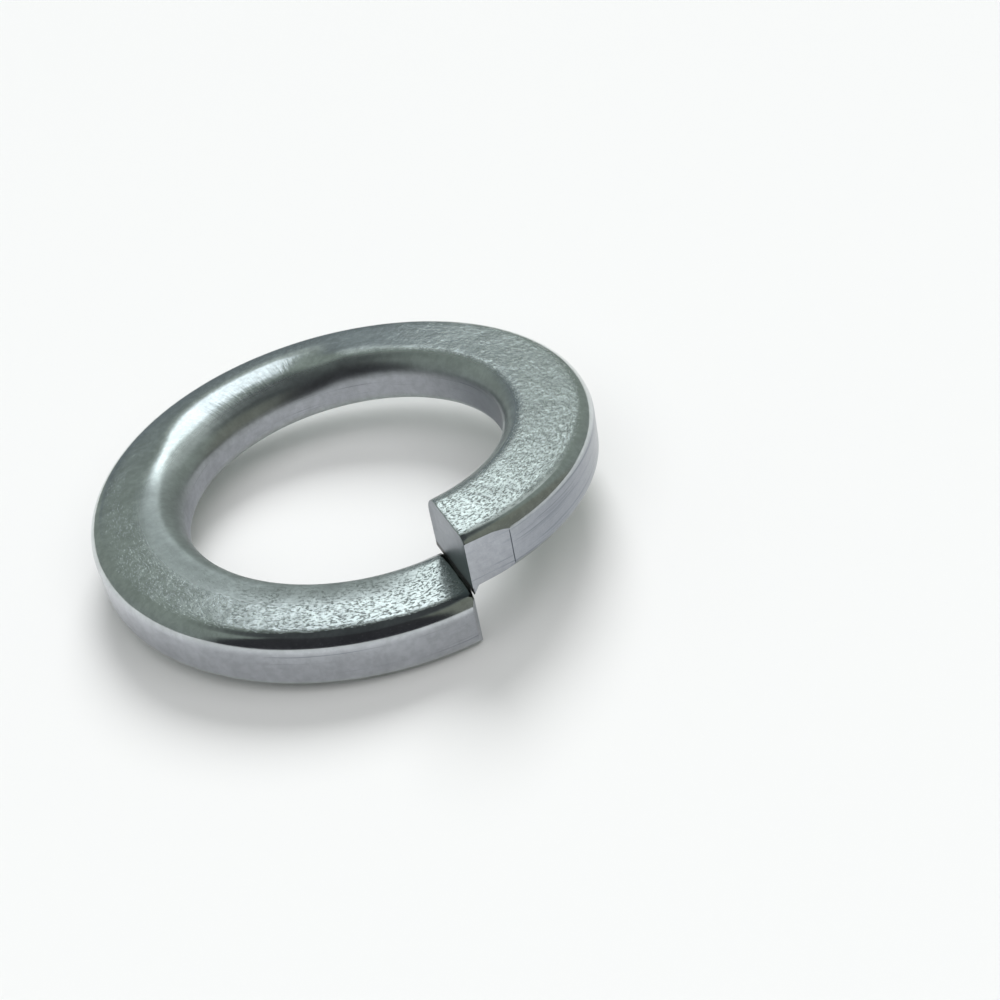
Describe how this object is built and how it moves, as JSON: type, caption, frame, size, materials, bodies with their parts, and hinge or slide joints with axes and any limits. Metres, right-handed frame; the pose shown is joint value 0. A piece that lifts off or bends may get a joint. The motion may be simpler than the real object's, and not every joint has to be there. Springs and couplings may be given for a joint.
{
  "type": "spring lock washer",
  "caption": "Split spring lock washer: one left-hand turn of flat rounded wire, its cut ends stepped apart, that goes over a screw under the nut or head and keeps tension in the joint.",
  "frame": {"origin": "on the axis of the bore, in the plane of the washer's lowest point", "axes": "+Z along the axis of the bore and up; -Y towards the cut; the lower end lies on the -X side of the cut and the upper end on its +X side"},
  "size_m": [0.0568, 0.0568, 0.0129],
  "materials": {
    "zinc_plated_steel": "bright zinc plate over rolled spring steel"
  },
  "bodies": {
    "root": {"lock_washer": "zinc_plated_steel"}
  },
  "joints": []
}
